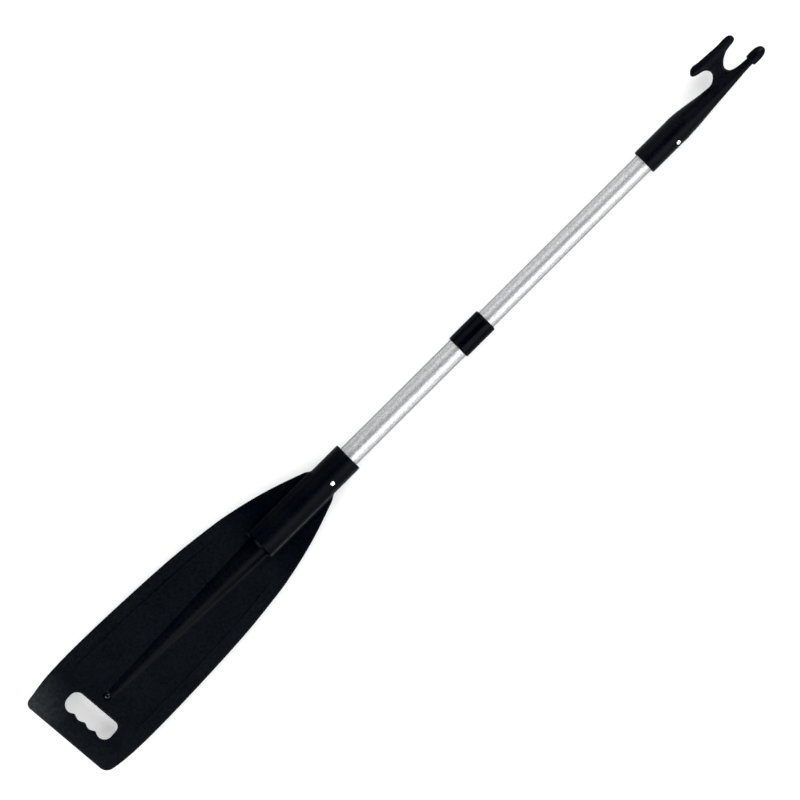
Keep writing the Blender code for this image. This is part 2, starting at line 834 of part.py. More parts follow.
def main():
    clear_scene()
    black = make_material("black_plastic", (0.008, 0.009, 0.011), 0.5)
    grey_plastic = make_material("grey_plastic", (0.12, 0.12, 0.12), 0.5)
    white_plastic = make_material("white_plastic", (0.75, 0.74, 0.7), 0.45)
    aluminium = make_material("anodised_aluminium", (0.62, 0.62, 0.62), 0.42, 1.0)
    rivet_metal = make_material("rivet_aluminium", (0.8, 0.8, 0.8), 0.3, 1.0)
    steel = make_material("steel", (0.45, 0.45, 0.46), 0.35, 1.0)
    rubber = make_material("rubber", (0.02, 0.02, 0.02), 0.7)

    blade_side = make_group("blade_side")
    make_blade(black, blade_side)
    make_outer_tube(aluminium, grey_plastic, blade_side)
    make_collar(black, blade_side)

    hook_side = make_group("hook_side")
    make_inner_tube(aluminium, grey_plastic, hook_side)
    make_hook(black, hook_side)
    make_lock_plug(white_plastic, steel, hook_side)
    make_stop_nut(steel, hook_side)

    metals = (rivet_metal, steel)
    blade_seat = (BLADE_RIVET_X, BLADE_RIVET_TURN, SOCKET_R, OUTER_BORE_R, blade_side)
    hook_seat = (HOOK_RIVET_X, HOOK_RIVET_TURN, HOOK_SOCKET_R, INNER_BORE_R, hook_side)
    for name, (x, turn, surface_r, bore_r, parent) in (
        ("blade_rivet", blade_seat),
        ("hook_rivet", hook_seat),
    ):
        for place, extra in (("front", 0.0), ("back", math.pi)):
            make_rivet(f"{name}_{place}", x, turn + extra, surface_r, bore_r, metals, parent)

    make_sleeve(white_plastic, rubber, make_group("lock_expander"))
    make_cone_nut(grey_plastic, make_group("lock_cone"))


main()
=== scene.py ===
"""The finished look of the telescopic paddle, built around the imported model.

Shapes are worked out in millimetres from the shaft's axis: x along the shaft, y across the blade, z up.
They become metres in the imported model's own frame when a mesh is made.
"""

import json
import math

import bpy
import numpy as np
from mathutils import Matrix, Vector


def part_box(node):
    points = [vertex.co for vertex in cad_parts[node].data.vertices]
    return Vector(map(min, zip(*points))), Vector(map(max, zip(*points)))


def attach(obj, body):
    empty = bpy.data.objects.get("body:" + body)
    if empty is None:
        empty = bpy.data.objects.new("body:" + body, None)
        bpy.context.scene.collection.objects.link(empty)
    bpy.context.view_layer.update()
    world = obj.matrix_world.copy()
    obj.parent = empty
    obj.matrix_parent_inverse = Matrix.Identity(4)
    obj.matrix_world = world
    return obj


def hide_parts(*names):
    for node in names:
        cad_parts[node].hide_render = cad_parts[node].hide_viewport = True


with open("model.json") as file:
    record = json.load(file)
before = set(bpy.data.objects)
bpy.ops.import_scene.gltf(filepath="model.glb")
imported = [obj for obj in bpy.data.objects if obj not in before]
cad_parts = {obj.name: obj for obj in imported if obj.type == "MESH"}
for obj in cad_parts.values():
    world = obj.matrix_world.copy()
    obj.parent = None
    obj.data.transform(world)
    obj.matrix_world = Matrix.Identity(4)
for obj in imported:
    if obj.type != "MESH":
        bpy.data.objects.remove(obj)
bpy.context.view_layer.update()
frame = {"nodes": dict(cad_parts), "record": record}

MM = 0.001


def node_corners(node):
    """A CAD node's lowest and highest corners in millimetres."""
    return [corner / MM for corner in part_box(node)]


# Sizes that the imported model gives
blade_low, blade_high = node_corners("blade")
hook_low, hook_high = node_corners("boat_hook")
collar_low, collar_high = node_corners("lock_collar")
outer_low, outer_high = node_corners("outer_tube")
inner_low, inner_high = node_corners("inner_tube")
AXIS_Z = (blade_low.z + blade_high.z) / 2
SOCKET_R = (blade_high.z - blade_low.z) / 2
SOCKET_MOUTH_X = blade_high.x
HOOK_X = hook_low.x
COLLAR_R = (collar_high.z - collar_low.z) / 2
OUTER_R = (outer_high.z - outer_low.z) / 2
INNER_R = (inner_high.z - inner_low.z) / 2
TUBE_WALL = 0.9
BORE_CLEARANCE = 0.25

# Blade, as in the CAD model
SOCKET_STEP_X = -289.0
BORE_PAST_TUBE = 2.6
RIB_ROOT_R = 15.2
RIB_TIP_R = 4.4
RIB_FLATNESS = 0.8
RIB_TIP_X = -572.0
NUB_X = -577.5
NUB_R = 5.2
PLATE_HALF = 2.5
TIP_X = -657.9
TIP_SLANT = math.radians(5.0)
TIP_CORNER_R = (9.0, 14.0)
BLADE_STATIONS = (
    (-171.0, 20.0),
    (-173.6, 23.4),
    (-178.0, 26.4),
    (-183.5, 28.5),
    (-208.5, 37.4),
    (-235.0, 45.9),
    (-262.0, 53.0),
    (-289.0, 59.0),
    (-316.0, 63.6),
    (-370.0, 69.9),
    (-410.0, 72.9),
    (-450.0, 75.0),
    (-500.0, 77.0),
    (-550.0, 78.2),
    (-590.0, 78.1),
    (-620.0, 76.6),
    (-645.0, 73.0),
    (-670.0, 67.5),
)
HOLE_CENTRE = (-612.0, -2.5)
HOLE_HALF_LENGTH = 38.8
HOLE_HALF_WIDTH = 15.0
FINGER_PITCH = 18.0
FINGER_DEPTH = 3.8
FINGERS = 4
HOLE_CORNER_R = (12.0, 8.0)

# Boat hook, as in the CAD model: along the shaft from the socket's mouth
HOOK_SOCKET_R = 18.25
HOOK_SOCKET_END = 68.0
HOOK_BORE_DEPTH = 69.0
BALL_CENTRE = (206.0, -3.8)
BALL_HALF_SIZE = (17.5, 8.4, 8.4)
BALL_BASE_X = 197.4
BALL_BLUNTNESS = 2.4
HOOK_SPINE = (
    (60.0, 18.25, -18.25, 18.25),
    (68.0, 18.2, -18.25, 18.2),
    (76.0, 17.7, -17.9, 17.8),
    (92.0, 15.5, -16.9, 15.4),
    (119.0, 11.3, -14.4, 11.4),
    (135.0, 8.9, -13.2, 9.4),
    (165.0, 4.7, -10.8, 7.2),
    (181.0, 2.2, -9.3, 6.2),
    (199.0, 0.8, -8.4, 5.4),
)
HOOK_OUTLINE = (
    (84.0, 8.0),
    (110.0, 10.0),
    (127.0, 9.6),
    (134.5, 9.7),
    (140.5, 11.6),
    (145.5, 15.0),
    (148.8, 19.3),
    (149.3, 23.8),
    (147.0, 28.0),
    (142.0, 30.9),
    (134.5, 32.5),
    (129.2, 34.5),
    (126.6, 38.0),
    (129.0, 42.0),
    (133.5, 44.9),
    (139.0, 45.3),
    (147.0, 44.0),
    (163.0, 43.0),
    (180.0, 42.0),
    (191.0, 42.5),
    (199.0, 41.8),
    (203.3, 39.2),
    (204.4, 35.5),
    (202.8, 31.6),
    (197.0, 29.7),
    (190.0, 29.0),
    (183.0, 27.6),
    (175.5, 23.9),
    (170.0, 19.5),
    (167.0, 15.0),
    (166.9, 11.2),
    (169.0, 7.2),
    (173.6, 4.2),
    (181.0, 2.0),
    (192.0, 0.9),
    (200.0, 0.2),
    (202.5, -3.6),
    (200.0, -7.6),
    (185.0, -8.2),
    (135.0, -10.5),
    (90.0, -9.0),
)

# Rivets: place along the shaft, turn from straight up towards -Y, radius of the socket, radius of the tube
RIVETS = {
    "blade_rivet": (-161.5, math.radians(29.5), SOCKET_R, OUTER_R),
    "hook_rivet": (489.8, math.radians(49.0), HOOK_SOCKET_R, INNER_R),
}
RIVET_HOLE_R = 1.85
RIVET_HEAD_R = 3.2
RIVET_SHANK_R = 1.6
RIVET_BORE_R = 1.0
RIVET_BULB_R = 2.6
RIVET_BULB_LENGTH = 2.3
MANDREL_R = 0.78

# Details that only the finished look has: beads and rails of the blade, edges, and the hook's plate
BEAD_INSET = (20.2, 17.5)
BEAD_HEIGHT = 0.5
BEAD_HALF_WIDTH = 2.2
BEAD_X = (-586.0, -300.0)
BEAD_FADE = (12.0, 40.0)
RAIL_Y = 22.7
RAIL_TOP = (17.5, 12.7)
RAIL_SLOPE = math.radians(32)
RAIL_INNER_Y = 14.0
RAIL_EDGE_R = 1.0
BLADE_EDGE_R = 2.2
SOCKET_EDGE_R = 1.2
SOCKET_MOUTH_BEVEL = 0.8
RIB_EDGE_R = 0.6
FILLET = 3.0
RIB_FILLET = 5.0
NUB_CENTRE_Y = 0.3
NUB_FLATNESS = 0.9
NUB_SINK = 0.8
HOOK_MOUTH_CHAMFER = 1.3
HOOK_PLATE_HALF = 5.2
HOOK_EDGE_R = 3.2
HOOK_BAR_Y = (27.0, 37.0)
HOOK_BAR_EXTRA_HALF = 1.6
HOOK_BAR_EXTRA_R = 3.0

# Cell sizes of the moulded surfaces, and the share of their faces that is kept
BLADE_CELL = (1.2, 0.9, 0.8)
HOOK_CELL = (0.7, 0.6, 0.6)
BLADE_KEEP = 0.35
HOOK_KEEP = 0.4


# --- smooth shapes given by their distance --------------------------------------------------------


def smooth_step(low, high, value):
    """From 0 at low to 1 at high, level at both ends."""
    share = np.clip((value - low) / (high - low), 0, 1)
    return share * share * (3 - 2 * share)


def smooth_min(a, b, reach):
    """The nearer of two surfaces, with a fillet of about that reach where they meet."""
    share = np.clip(0.5 + 0.5 * (b - a) / reach, 0, 1)
    return b + (a - b) * share - reach * share * (1 - share)


def rounded(p, q, radius):
    """The corner of two half spaces, p and q negative inside, rounded to the radius."""
    p, q = p + radius, q + radius
    return np.minimum(np.maximum(p, q), 0) + np.hypot(np.maximum(p, 0), np.maximum(q, 0)) - radius


def curve_point(before, start, end, after, t):
    """A point of the Catmull-Rom curve between start and end."""
    return 0.5 * (
        2 * start
        + (end - before) * t
        + (2 * before - 5 * start + 4 * end - after) * t**2
        + (3 * start - before - 3 * end + after) * t**3
    )


def smooth_curve(points, steps, closed):
    """A smooth curve through the points, as an array of points."""
    points = np.array(points, float)
    count = len(points)
    if closed:
        ends = [points[i % count] for i in range(-1, count + 2)]
    else:
        ends = [2 * points[0] - points[1], *points, 2 * points[-1] - points[-2]]
    curve = [
        curve_point(*ends[i : i + 4], k / steps) for i in range(len(ends) - 3) for k in range(steps)
    ]
    return np.array(curve if closed else curve + [points[-1]])


def outline_distance(x, y, outline):
    """The distance of each point to a closed outline, negative inside it."""
    nearest = np.full(np.broadcast(x, y).shape, np.inf)
    inside = np.zeros(nearest.shape, bool)
    for (ax, ay), (bx, by) in zip(outline, np.roll(outline, -1, axis=0)):
        run_x, run_y = bx - ax, by - ay
        px, py = x - ax, y - ay
        share = np.clip((px * run_x + py * run_y) / (run_x**2 + run_y**2), 0, 1)
        nearest = np.minimum(nearest, (px - share * run_x) ** 2 + (py - share * run_y) ** 2)
        if ay != by:
            inside ^= ((ay > y) != (by > y)) & (px < run_x * (y - ay) / run_y)
    return np.where(inside, -1, 1) * np.sqrt(nearest)


def surface_net(low, high, cell, make_field):
    """Points and quads where the field is zero, with one point in each cell that the surface crosses."""
    axes = [np.arange(a - 2 * c, b + 3 * c, c) for a, b, c in zip(low, high, cell)]
    field = make_field(axes[0][:, None], axes[1][None, :])
    values = np.stack([field(z) for z in axes[2]], axis=2)
    solid = values < 0
    filled = sum(
        solid[i : i - 1 or None, j : j - 1 or None, k : k - 1 or None].astype(np.int8)
        for i in (0, 1)
        for j in (0, 1)
        for k in (0, 1)
    )
    active = (filled > 0) & (filled < 8)
    cells = np.argwhere(active)
    unit = np.eye(3, dtype=int)
    points = np.zeros((len(cells), 3))
    hits = np.zeros(len(cells))
    for axis in range(3):
        u, v = unit[(axis + 1) % 3], unit[(axis + 2) % 3]
        for corner in (0 * u, u, v, u + v):
            start = cells + corner
            a = values[tuple(start.T)]
            b = values[tuple((start + unit[axis]).T)]
            crossed = (a < 0) != (b < 0)
            share = np.where(crossed, a / np.where(crossed, a - b, 1), 0)
            points += crossed[:, None] * (start + share[:, None] * unit[axis])
            hits += crossed
    points /= hits[:, None]
    number = np.full(active.shape, -1)
    number[active] = np.arange(len(cells))
    quads = []
    for axis in range(3):
        u, v = unit[(axis + 1) % 3], unit[(axis + 2) % 3]
        front = np.take(solid, range(1, solid.shape[axis]), axis)
        back = np.take(solid, range(solid.shape[axis] - 1), axis)
        starts = np.argwhere(front != back)
        ring = np.stack([number[tuple((starts - d).T)] for d in (0 * u, u, u + v, v)], axis=1)
        outward = solid[tuple(starts.T)]
        quads.append(np.where(outward[:, None], ring, ring[:, ::-1]))
    origin = np.array([axis[0] for axis in axes])
    return origin + points * np.array(cell), np.concatenate(quads)


# --- meshes ---------------------------------------------------------------------------------------


def make_piece(name, points, faces, mat, body, replaced=(), sharp=35.0):
    """A piece from points in millimetres about the shaft's axis."""
    points = (np.asarray(points, float) + (0, 0, AXIS_Z)) * MM
    mesh = bpy.data.meshes.new(name)
    mesh.from_pydata(points.tolist(), [], [tuple(map(int, face)) for face in faces])
    mesh.shade_smooth()
    mesh.set_sharp_from_angle(angle=math.radians(sharp))
    mesh.materials.append(mat)
    piece = bpy.data.objects.new(name, mesh)
    bpy.context.scene.collection.objects.link(piece)
    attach(piece, body)
    if replaced:
        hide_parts(*replaced)
    return piece


def keep_share(piece, share):
    """Leaves about that share of the piece's faces, fewest where it is flat."""
    mod = piece.modifiers.new("fewer_faces", "DECIMATE")
    mod.ratio = share
    graph = bpy.context.evaluated_depsgraph_get()
    mesh = bpy.data.meshes.new_from_object(piece.evaluated_get(graph))
    piece.modifiers.clear()
    piece.data = mesh
    mesh.shade_smooth()
    mesh.set_sharp_from_angle(angle=math.radians(50))


def turned(profile, sides, closed=True):
    """Points and faces of a profile of (along, radius) points turned about the X axis."""
    rings = []
    points = []
    for along, radius in profile:
        count = sides if radius > 0 else 1
        angles = 2 * math.pi * np.arange(count) / count
        rings.append(range(len(points), len(points) + count))
        points += [(along, radius * math.sin(a), radius * math.cos(a)) for a in angles]
    pairs = list(zip(rings, rings[1:] + rings[:1] if closed else rings[1:]))
    faces = []
    for one, two in pairs:
        for k in range(sides):
            n = (k + 1) % sides
            ring = [one[k % len(one)], one[n % len(one)], two[n % len(two)], two[k % len(two)]]
            face = [v for i, v in enumerate(ring) if v != ring[i - 1]]
            if len(face) > 2:
                faces.append(face)
    return np.array(points), faces


def arc(centre, radius, start, end, steps):
    """Points of an arc, angles in degrees."""
    angles = np.radians(np.linspace(start, end, steps + 1))
    return [(centre[0] + radius * math.cos(a), centre[1] + radius * math.sin(a)) for a in angles]


# --- blade ----------------------------------------------------------------------------------------


def rounded_corner(before, corner, after, radius, steps=16):
    """The arc that rounds the corner between two straight runs."""
    before, corner, after = (Vector(p) for p in (before, corner, after))
    to_before = (before - corner).normalized()
    to_after = (after - corner).normalized()
    half = to_before.angle(to_after) / 2
    centre = corner + (to_before + to_after).normalized() * radius / math.sin(half)
    first = corner + to_before * radius / math.tan(half) - centre
    last = corner + to_after * radius / math.tan(half) - centre
    turn = math.atan2(first.x * last.y - first.y * last.x, first.dot(last))
    start = math.degrees(math.atan2(first.y, first.x))
    return arc(centre, radius, start, start + math.degrees(turn), steps)


def blade_edge():
    """The blade's edge from the shoulder to the tip, as (x, half width)."""
    return smooth_curve(BLADE_STATIONS, 8, closed=False)[:-8]


def blade_outline():
    """The blade's outline, from one shoulder round the slanted tip to the other."""
    edge = blade_edge()
    before, last = edge[-9], edge[-1]
    slope = (last[1] - before[1]) / (last[0] - before[0])
    sides = []
    for sign, radius in zip((1, -1), TIP_CORNER_R):
        x = last[0]
        for _ in range(8):
            x = TIP_X - sign * (last[1] + slope * (x - last[0])) * math.tan(TIP_SLANT)
        corner = (x, sign * (last[1] + slope * (x - last[0])))
        turn = rounded_corner((before[0], sign * before[1]), corner, (TIP_X, 0.0), radius)
        run = [(px, sign * py) for px, py in edge if px > turn[0][0] + 1]
        sides.append(run + turn)
    return np.array(sides[0] + sides[1][::-1])


def hand_hole_outline():
    """The hand hole: straight towards the shaft, finger bays towards the tip, slanted as the tip is."""
    valley = (FINGERS - 1) * FINGER_PITCH / 2
    end_r = HOLE_HALF_LENGTH - valley
    across = np.linspace(valley, -valley, (FINGERS - 1) * 24 + 1)
    lift = np.sqrt(np.sin(math.pi * across / FINGER_PITCH) ** 2 + 0.03) / math.sqrt(1.03)
    local = list(zip(HOLE_HALF_WIDTH - FINGER_DEPTH * (1 - lift), across))
    high_r, low_r = HOLE_CORNER_R
    width, length = HOLE_HALF_WIDTH, HOLE_HALF_LENGTH
    local += arc((width - end_r, -valley), end_r, 0, -90, 16)[1:]
    local += arc((-width + low_r, -length + low_r), low_r, -90, -180, 16)
    local += arc((-width + high_r, length - high_r), high_r, 180, 90, 16)
    local += arc((width - end_r, valley), end_r, 90, 0, 16)[:-1]
    cos, sin = math.cos(TIP_SLANT), math.sin(TIP_SLANT)
    x, y = HOLE_CENTRE
    return np.array([(x - w * cos - u * sin, y - w * sin + u * cos) for w, u in local])


def half_width(x):
    """Half the blade's width at x."""
    edge = blade_edge()[::-1]
    return np.interp(x, edge[:, 0], edge[:, 1])


def bead_share(x, y):
    """How much of the bead's height stands at each point: the raised line inside each long edge."""
    middle = np.interp(x, BEAD_X, BEAD_INSET)
    inset = half_width(x) - np.abs(y) - middle
    tip_end = smooth_step(BEAD_X[0], BEAD_X[0] + BEAD_FADE[0], x)
    shoulder_end = 1 - smooth_step(BEAD_X[1] - BEAD_FADE[1], BEAD_X[1], x)
    return tip_end * shoulder_end * (1 - smooth_step(0, BEAD_HALF_WIDTH, np.abs(inset)))


def plate_half(x, y):
    """Half the blade's thickness at each point: the plate and its beads."""
    return PLATE_HALF + BEAD_HEIGHT * bead_share(x, y)


def rivet_hole(x, y, z, name):
    """The distance to the drilled line of a pair of rivets."""
    along_shaft, turn, _, _ = RIVETS[name]
    across = y * math.cos(turn) + z * math.sin(turn)
    return np.hypot(x - along_shaft, across) - RIVET_HOLE_R


def blade_field(x, y):
    """The blade: plate, rib, socket and side rails, bored for the tube and drilled for the rivets."""
    rim = np.maximum(
        outline_distance(x, y, blade_outline()), -outline_distance(x, y, hand_hole_outline())
    )
    half = plate_half(x, y)
    middle = (SOCKET_STEP_X + SOCKET_MOUTH_X) / 2
    half_length = (SOCKET_MOUTH_X - SOCKET_STEP_X) / 2
    taper = (RIB_ROOT_R - RIB_TIP_R) / (SOCKET_STEP_X - RIB_TIP_X)
    rib_r = RIB_TIP_R + taper * (x - RIB_TIP_X)
    flank_y = (np.abs(y) - RAIL_TOP[0]) * math.sin(RAIL_SLOPE)
    rail_end = np.maximum(rim, SOCKET_STEP_X - x)
    bore_r = OUTER_R + BORE_CLEARANCE
    bore_end = outer_low.x - BORE_PAST_TUBE

    def at(z):
        r = np.hypot(y, z)
        plate = rounded(rim, np.abs(z) - half, BLADE_EDGE_R)
        socket = rounded(np.abs(x - middle) - half_length, r - SOCKET_R, SOCKET_EDGE_R)
        oval_r = np.hypot(y, z / RIB_FLATNESS)
        rib = rounded(oval_r - rib_r, np.maximum(RIB_TIP_X - x, x - SOCKET_STEP_X - 1), RIB_EDGE_R)
        solid = smooth_min(plate, rib, RIB_FILLET)
        solid = smooth_min(solid, socket, FILLET)
        flank = (np.abs(z) - RAIL_TOP[1]) * math.cos(RAIL_SLOPE) + flank_y
        rail = rounded(rounded(np.abs(y) - RAIL_Y, flank, RAIL_EDGE_R), rail_end, RAIL_EDGE_R)
        rail = np.maximum(rail, RAIL_INNER_Y - np.abs(y))
        solid = smooth_min(solid, rail, RAIL_EDGE_R)
        bore = np.maximum(r - bore_r, bore_end - x)
        mouth = (r - bore_r - SOCKET_MOUTH_BEVEL + (SOCKET_MOUTH_X - x)) * 0.7
        solid = np.maximum(solid, -np.minimum(bore, mouth))
        return np.maximum(solid, -rivet_hole(x, y, z, "blade_rivet"))

    return at


# How much lighter the blade is painted: worn at its edges, a lighter tone on its flat panels away from the
# socket, a painted highlight in the line along each rail, and painted shade along the beads
EDGE_WEAR = 0.12
PANEL_LIGHTENING = 0.1
# The painted highlight along each rail: its inset from the rail's side, its width, and how much of it the
# +Y side gets
RAIL_HIGHLIGHT_INSET = 1.6
RAIL_HIGHLIGHT_WIDTH = 1.3
FAR_RAIL_HIGHLIGHT = 0.12


def set_wear_and_painted_light(piece, values):
    """Stores how much lighter each vertex is painted, from 0 to 1, for scuffs and for painted light and
    shade.
    """
    wear_and_painted_light = piece.data.attributes.new("wear_and_painted_light", "FLOAT", "POINT")
    wear_and_painted_light.data.foreach_set("value", np.clip(values, 0, 1).astype(np.float32))


def paint_blade_wear_and_light(piece):
    """Says where the blade is painted lighter: a painted highlight in a fine line along each rail, full on
    the -Y side, a little lighter where worn at the edges, a lighter tone on the flat panels away from the
    socket, and painted shade along the beads.
    """
    places = np.array([v.co for v in piece.data.vertices]) / MM - (0, 0, AXIS_Z)
    x, y, z = places.T
    margin = EDGE_WEAR * smooth_step(BEAD_INSET[0] + 2, BEAD_INSET[1] - 3, half_width(x) - np.abs(y))
    margin *= smooth_step(-250, -330, x)
    # Painted highlight: a fine light line along each rail, full on the -Y side that faces the key light,
    # faint on the +Y side.
    line = np.exp(-(((np.abs(y) - RAIL_Y + RAIL_HIGHLIGHT_INSET) / RAIL_HIGHLIGHT_WIDTH) ** 2))
    line = line * (np.abs(z) > 2 * PLATE_HALF) * (x > SOCKET_STEP_X)
    line *= np.where(y < 0, 1.0, FAR_RAIL_HIGHLIGHT)
    # A lighter tone on the flat panels, fading out towards the socket.
    panel = PANEL_LIGHTENING * (np.abs(z) < PLATE_HALF + 0.8) * smooth_step(-262, -310, x)
    # Painted shade: the lighter paint is taken off along the beads, leaving a dark painted line on each.
    bead_line_shade = 1 - 0.9 * bead_share(x, y)
    set_wear_and_painted_light(piece, np.maximum(margin, panel) * bead_line_shade + line)


def make_blade(mat):
    cell = [c for c in BLADE_CELL]
    low, high = blade_low - Vector((0, 0, AXIS_Z)), blade_high - Vector((0, 0, AXIS_Z))
    points, quads = surface_net(low, high, cell, blade_field)
    piece = make_piece("paddle_blade", points, quads, mat, "blade_side", ["blade"])
    keep_share(piece, BLADE_KEEP)
    paint_blade_wear_and_light(piece)


def make_nubs(mat):
    """The polished nub at the rib's end, on both faces of the blade."""
    height = NUB_R * NUB_FLATNESS
    rise = [(height * math.sin(a), NUB_R * math.cos(a)) for a in np.radians(np.linspace(0, 90, 13)[:-1])]
    points, faces = turned([(-1.0, 0.0), (-1.0, NUB_R), *rise, (height, 0.0)], 48, closed=False)
    for side, name in ((1, "blade_nub_front"), (-1, "blade_nub_back")):
        placed = np.stack([points[:, 1], side * points[:, 2], side * points[:, 0]], axis=1)
        placed += (NUB_X, NUB_CENTRE_Y, side * (PLATE_HALF - NUB_SINK))
        make_piece(name, placed, faces, mat, "blade_side")


# --- boat hook ------------------------------------------------------------------------------------


def hook_field(x, y):
    """The hook, with x measured from its socket's mouth."""
    outline = smooth_curve(HOOK_OUTLINE, 6, closed=True)
    rim = outline_distance(x, y, outline)
    spine = smooth_curve(HOOK_SPINE, 12, closed=False)
    upper, lower, height = (np.interp(x, spine[:, 0], spine[:, k]) for k in (1, 2, 3))
    middle, half_width_y = (upper + lower) / 2, (upper - lower) / 2
    bar = smooth_step(*HOOK_BAR_Y, y)
    plate_half_z = HOOK_PLATE_HALF + HOOK_BAR_EXTRA_HALF * bar
    edge_r = HOOK_EDGE_R + HOOK_BAR_EXTRA_R * bar
    bore_r = INNER_R + BORE_CLEARANCE

    def at(z):
        r = np.hypot(y, z)
        mouth = (r - HOOK_SOCKET_R + HOOK_MOUTH_CHAMFER - x) * math.sqrt(0.5)
        socket = np.maximum(rounded(r - HOOK_SOCKET_R, x - HOOK_SOCKET_END, 1.0), -x)
        socket = np.maximum(socket, mouth)
        oval = np.hypot((y - middle) / half_width_y, z / height)
        core = (oval - 1) * np.minimum(half_width_y, height)
        core = np.maximum(core, np.maximum(HOOK_SPINE[0][0] - x, x - HOOK_SPINE[-1][0]))
        plate = rounded(rim, np.abs(z) - plate_half_z, edge_r)
        solid = smooth_min(smooth_min(socket, core, 1.0), plate, 3.0)
        bx, by, bz = BALL_HALF_SIZE
        p, q = np.abs(x - BALL_CENTRE[0]) / bx, np.hypot((y - BALL_CENTRE[1]) / by, z / bz)
        near = (p**BALL_BLUNTNESS + q**BALL_BLUNTNESS) ** (1 / BALL_BLUNTNESS)
        steep = np.hypot(p / bx, q / by)
        ball = rounded(near * (near - 1) / np.maximum(steep, 1e-6), BALL_BASE_X - x, 0.8)
        solid = smooth_min(solid, ball, 0.4)
        bore = np.maximum(r - bore_r, x - HOOK_BORE_DEPTH)
        solid = np.maximum(solid, -bore)
        return np.maximum(solid, -rivet_hole(x + HOOK_X, y, z, "hook_rivet"))

    return at


def make_hook(mat):
    """The hook, painted lighter on its web between the crossbar and the shaft, so that the crossbar's top
    stays dark as painted shade.
    """
    cell = [c for c in HOOK_CELL]
    shift = Vector((HOOK_X, 0, AXIS_Z))
    points, quads = surface_net(hook_low - shift, hook_high - shift, cell, hook_field)
    points[:, 0] += HOOK_X
    piece = make_piece("hook_head", points, quads, mat, "hook_side", ["boat_hook"])
    keep_share(piece, HOOK_KEEP)
    y = np.array([v.co.y for v in piece.data.vertices]) / MM
    # Painted light: the flat web is lighter, and the crossbar's rounded top is left dark as painted shade.
    set_wear_and_painted_light(piece, 0.02 + 0.12 * smooth_step(6, 14, y) * smooth_step(39, 34, y))


# --- tubes, collar and rivets ---------------------------------------------------------------------


def tube_profile(x_low, x_high, r_outer, r_inner, bevel=0.15):
    """A tube's wall as (along, radius) points."""
    return [
        (x_low, r_inner + bevel),
        (x_low, r_outer - bevel),
        (x_low + bevel, r_outer),
        (x_high - bevel, r_outer),
        (x_high, r_outer - bevel),
        (x_high, r_inner + bevel),
        (x_high - bevel, r_inner),
        (x_low + bevel, r_inner),
    ]


def make_tubes(mat):
    """The two tubes of the shaft."""
    points, faces = turned(tube_profile(outer_low.x, outer_high.x, OUTER_R, OUTER_R - TUBE_WALL), 96)
    make_piece("lower_tube", points, faces, mat, "blade_side", ["outer_tube"])
    points, faces = turned(tube_profile(inner_low.x, inner_high.x, INNER_R, INNER_R - TUBE_WALL), 96)
    make_piece("upper_tube", points, faces, mat, "hook_side", ["inner_tube"])


def make_collar(mat):
    """The collar: bored to the outer tube, and beyond its end to the inner one."""
    low, high = collar_low.x, collar_high.x
    rim, bevel = 2.4, 0.3
    lip = outer_high.x + 0.3
    wide_bore, narrow_bore = OUTER_R + 0.2, INNER_R + BORE_CLEARANCE
    profile = [(low + bevel, wide_bore), (low, OUTER_R + 0.5)]
    profile += arc((low + rim, COLLAR_R - rim), rim, 180, 90, 12)
    profile += arc((high - rim, COLLAR_R - rim), rim, 90, 0, 12)
    profile += [(high, INNER_R + 0.5), (high - bevel, narrow_bore)]
    profile += [(lip, narrow_bore), (lip, wide_bore)]
    points, faces = turned(profile, 96)
    make_piece("twist_collar", points, faces, mat, "blade_side", ["lock_collar"])


def make_rivets(head_mat, core_mat):
    """A pair of opposite rivets through each socket."""
    for name, (along, turn, socket_r, tube_r) in RIVETS.items():
        for place, extra in (("front", 0.0), ("back", math.pi)):
            make_rivet(f"{name}_{place}", along, turn + extra, socket_r, tube_r, head_mat, core_mat)


def make_rivet(node, along, turn, socket_r, tube_r, head_mat, core_mat):
    """A blind rivet whose head beds on the socket's curve, and the broken end of its mandrel."""
    grip = socket_r - (tube_r - TUBE_WALL)
    bulb_end = grip + RIVET_BULB_LENGTH
    lip_r = RIVET_BORE_R + 0.5
    crown = [(0.12 + 0.96 * math.cos(a), lip_r + 1.6 * math.sin(a)) for a in np.radians((20, 40, 60, 78))]
    head = [
        (0.35, RIVET_BORE_R),
        (0.85, RIVET_BORE_R + 0.05),
        (1.02, RIVET_BORE_R + 0.2),
        (1.08, lip_r),
        *crown,
        (0.1, RIVET_HEAD_R),
        (0.0, RIVET_HEAD_R - 0.12),
    ]
    shank = [
        (0.0, RIVET_SHANK_R + 0.1),
        (-grip + 0.2, RIVET_SHANK_R),
        (-grip, RIVET_SHANK_R + 0.2),
        (-grip - 0.1, RIVET_BULB_R * 0.85),
        (-grip - 0.8, RIVET_BULB_R),
        (-bulb_end + 0.6, RIVET_BULB_R * 0.9),
        (-bulb_end, RIVET_BULB_R * 0.65),
        (-bulb_end, RIVET_BORE_R),
    ]
    stub = [
        (0.15, 0.0),
        (0.32, 0.35),
        (0.2, 0.7),
        (0.0, MANDREL_R),
        (-bulb_end - 0.2, MANDREL_R),
        (-bulb_end - 0.3, 1.35),
        (-bulb_end - 1.0, 1.3),
        (-bulb_end - 1.5, 0.8),
        (-bulb_end - 1.7, 0.0),
    ]
    body = "blade_side" if node.startswith("blade") else "hook_side"
    place_rivet(node + "_body", turned(head + shank, 40), along, turn, socket_r, head_mat, body, node)
    mandrel = turned(stub, 24, closed=False)
    place_rivet(node + "_core", mandrel, along, turn, socket_r, core_mat, body, node + "_mandrel")


